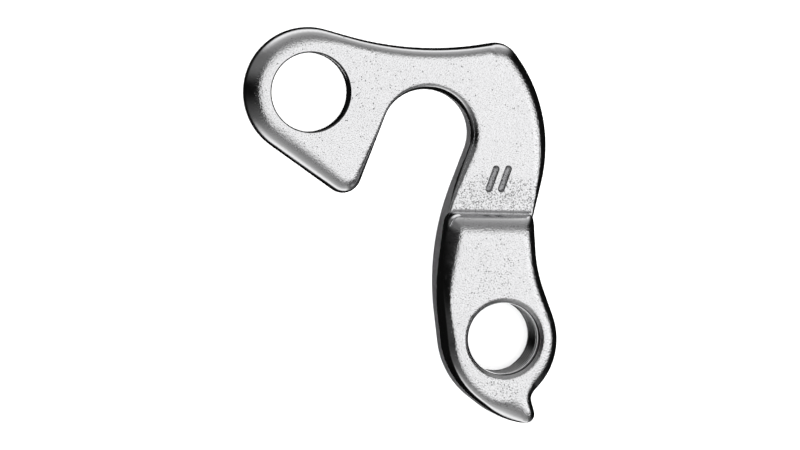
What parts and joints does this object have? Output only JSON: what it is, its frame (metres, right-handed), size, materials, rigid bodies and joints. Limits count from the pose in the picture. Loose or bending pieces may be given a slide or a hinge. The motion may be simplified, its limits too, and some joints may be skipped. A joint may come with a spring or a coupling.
{
  "type": "bicycle derailleur hanger",
  "caption": "Forged hook-shaped plate with an axle slot, a lobe with a frame bolt hole and a thicker arm with a threaded derailleur hole beside a stop nub.",
  "frame": {"origin": "axis of the derailleur thread, halfway through the arm's thickness", "axes": "+Z along the thread out of the inboard face, +Y up the arm towards the axle slot, +X forward, away from the frame bolt lobe"},
  "size_m": [0.0394, 0.0504, 0.008],
  "materials": {
    "silver_aluminium": "bright silver forging with a finely pitted face, darker where it was trimmed"
  },
  "bodies": {
    "root": {"hanger": "silver_aluminium"}
  },
  "joints": []
}
